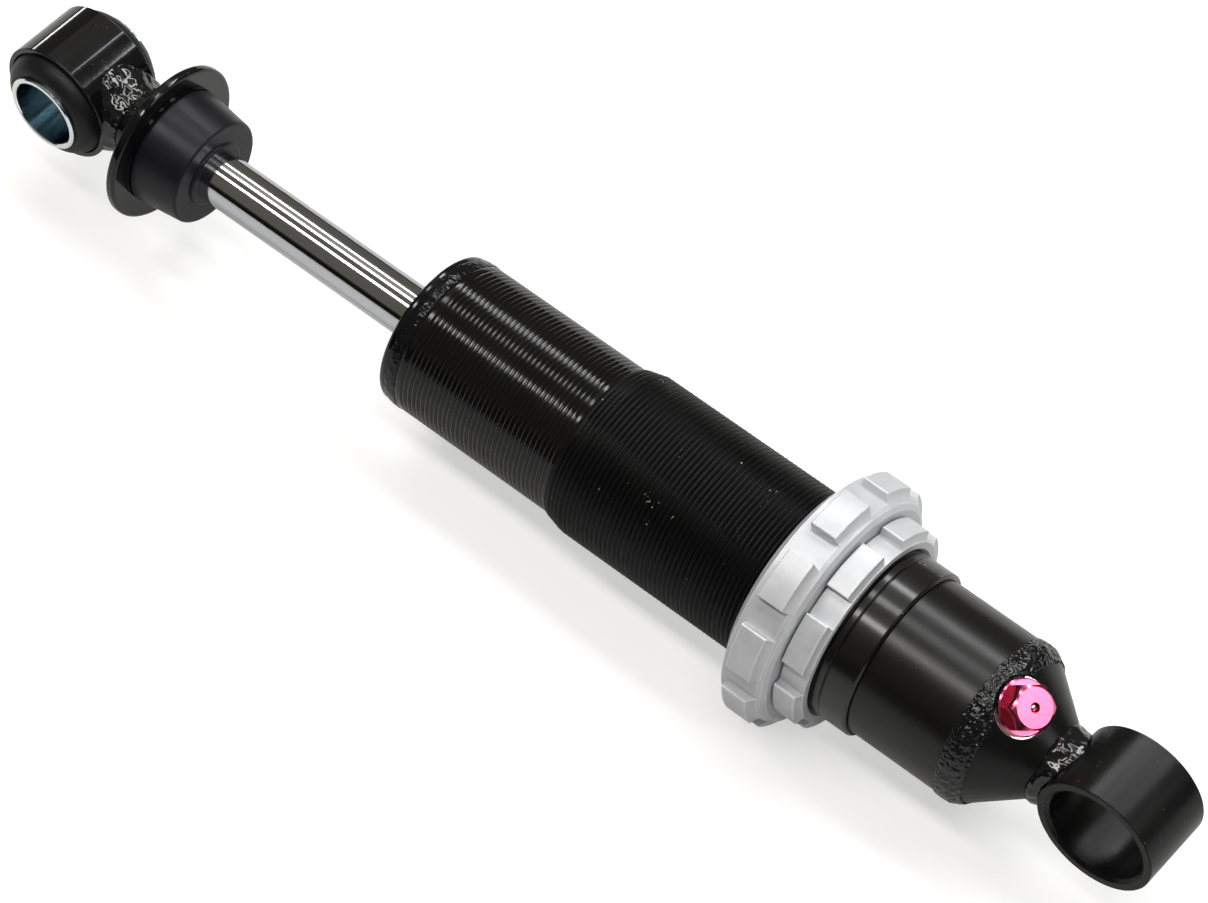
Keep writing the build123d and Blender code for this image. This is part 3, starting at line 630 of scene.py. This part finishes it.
def tube_radius(i, x, r, angle):
    if groove_first <= i < groove_last:
        return r - GROOVE_DEPTH * ripple(x, angle, groove_from, groove_to, PITCH, 1.0)
    return r


add_piece(
    "body_tube_turned",
    lathe("body_tube_turned", tube_outline, TUBE_AROUND, tube_radius),
    "shock_body",
    tube_black,
    "satin_black",
    "body_tube",
)

# The sleeve: a tapered and threaded length, then a plain collar with a groove and a bevelled end.
THREAD_R = sleeve_high.y
SLEEVE_AROUND = 184
THREAD_ROWS = 8
THREAD_DEPTH = 0.5 * MM
THREAD_FADE = 0.4 * PITCH
THREAD_RUNOUT = 0.3 * MM
THREAD_FLOOR = 0.02 * MM  # least metal left over the tube
SLEEVE_LIP = 0.45 * MM
LIP_BEVEL = 0.05 * MM
LIP_RUN = 0.5 * MM
TAPER = 4.5 * MM
COLLAR_GROOVE_AT = 1.5 * MM
COLLAR_GROOVE_W = 0.6 * MM
COLLAR_GROOVE_DEPTH = 0.35 * MM
SLEEVE_STEP = 0.5 * MM
SLEEVE_CORNER = 0.04 * MM

lip_r = TUBE_R + SLEEVE_LIP
thread_from = sleeve_low.x + LIP_RUN
thread_to = collar_from
collar_groove = thread_to + COLLAR_GROOVE_AT


def sleeve_crest(x):
    """Crest radius: the sleeve's end tapers down to the tube."""
    return lip_r + (THREAD_R - lip_r) * share_of(x, sleeve_low.x, TAPER)


sleeve_outline = [(sleeve_low.x, TUBE_R), (sleeve_low.x, lip_r - LIP_BEVEL)]
thread_first = len(sleeve_outline)
sleeve_outline += [(x, sleeve_crest(x)) for x in helix_rows(thread_from, thread_to, THREAD_ROWS)]
thread_last = len(sleeve_outline)
sleeve_outline += softened(
    [
        (thread_to + THREAD_RUNOUT, THREAD_R),
        (collar_groove, THREAD_R),
        (collar_groove + COLLAR_GROOVE_W / 2, THREAD_R - COLLAR_GROOVE_DEPTH),
        (collar_groove + COLLAR_GROOVE_W, THREAD_R),
        (sleeve_high.x - SLEEVE_STEP, THREAD_R),
        (sleeve_high.x, THREAD_R - SLEEVE_STEP),
        (sleeve_high.x, TUBE_R),
    ],
    SLEEVE_CORNER,
)


def thread_radius(i, x, r, angle):
    if thread_first <= i < thread_last:
        depth = THREAD_DEPTH * ripple(x, angle, thread_from, thread_to, THREAD_FADE, 0.9)
        return r - min(depth, r - TUBE_R - THREAD_FLOOR)
    return r


add_piece(
    "thread_sleeve_turned",
    lathe("thread_sleeve_turned", sleeve_outline, SLEEVE_AROUND, thread_radius),
    "shock_body",
    thread_black,
    "thread_black",
    "thread_sleeve",
    sharp_deg=50.0,
)


# ---------------------------------------------------------------- welds
SAME_PLACE = 1e-6  # corners nearer than this are one
FINE_SEED = 7.3  # keeps fine lumps apart from coarse ones


def lumps(p, scale, seed):
    """Smooth blobs of weld metal, from about -1 in the creases to 1 on top."""
    at = p * scale + Vector((seed, 0, 0))
    return 1.4 * noise.noise(at) + 0.5 * noise.noise(at * 2.1)


def weld(name, node, body, paint, voxel, coarse, coarse_h, fine, fine_h, inset, seed):
    """A CAD weld grown into lumpy metal: coarse and fine are lumps per metre, sizes in mm."""
    source = nodes[node].data.copy()
    bm = bmesh.new()
    bm.from_mesh(source)
    bmesh.ops.remove_doubles(bm, verts=bm.verts, dist=SAME_PLACE)
    bm.to_mesh(source)
    bm.free()
    blank = bpy.data.objects.new(name + "_blank", source)
    bpy.context.scene.collection.objects.link(blank)
    remesh = blank.modifiers.new("remesh", "REMESH")
    remesh.mode = "VOXEL"
    remesh.voxel_size = voxel * MM
    graph = bpy.context.evaluated_depsgraph_get()
    mesh = bpy.data.meshes.new_from_object(blank.evaluated_get(graph))
    bpy.data.objects.remove(blank)
    normals = [v.normal.copy() for v in mesh.vertices]
    for v, n in zip(mesh.vertices, normals):
        big = lumps(v.co, coarse, seed)
        small = lumps(v.co, fine, seed + FINE_SEED)
        v.co += n * (coarse_h * MM * big + fine_h * MM * small - inset * MM)
    mesh.name = name
    mesh.update()
    add_piece(name, mesh, body, paint, "weld_black", node, sharp_deg=180.0)


# name, CAD node, body, paint, voxel, coarse lumps, their height, fine lumps, their height, inset, seed
for row in (
    ("cone_weld_bead", "cone_weld", "shock_body", rough_weld, 0.2, 520, 0.16, 1250, 0.13, 0.25, 1),
    ("top_weld_bead", "top_cap_weld", "shock_body", fine_weld, 0.2, 700, 0.06, 1500, 0.05, 0, 2),
    ("body_eye_weld_metal", "body_eye_weld", "shock_body", smooth_weld, 0.25, 210, 0.55, 520, 0.16, 0, 3),
    ("rod_eye_weld_metal", "rod_eye_weld", "rod", smooth_weld, 0.25, 240, 0.42, 620, 0.12, 0, 4),
):
    weld(*row)


# ---------------------------------------------------------------- the scene
make_camera()
make_world()
make_floor()
rod_eye_at = centre("rod_eye")
valve_at = centre("valve_ball")
WARM_STRIP = (1.0, 0.98, 0.96)
COOL_STRIP = (0.85, 0.95, 1.0)
WARM_CEILING = (1.0, 0.97, 0.92)
# name, target, direction, distance, length, width, radiance, colour, long side
for row in (
    ("strip_back", middle, (0.0, 0.605, 0.796), 1.1, 1.3, 0.145, 12.0, WHITE, ALONG_SHOCK),
    ("strip_top", middle, (0.0, 0.151, 0.988), 1.1, 1.3, 0.145, 7.5, WHITE, ALONG_SHOCK),
    ("strip_front", middle, (0.0, -0.345, 0.939), 1.1, 1.3, 0.13, 14.0, WARM_STRIP, ALONG_SHOCK),
    ("eye_side", rod_eye_at, (-0.87, 0.48, 0.09), 0.8, 0.09, 0.05, 14.0, WHITE, ALONG_EYES),
    ("eye_top", rod_eye_at, (0.14, 0.48, 0.87), 1.1, 0.1, 0.03, 16.0, COOL_STRIP, ALONG_EYES),
    ("valve_side", valve_at, (0.77, 0.23, 0.59), 0.9, 0.3, 0.2, 7.0, WHITE, ALONG_EYES),
    ("wide_top", middle, (-0.347, 0.302, 0.888), 1.35, 1.4, 0.75, 0.28, WARM_CEILING, ALONG_SHOCK),
):
    area_light(*row)
bpy.context.scene.view_settings.view_transform = "Standard"
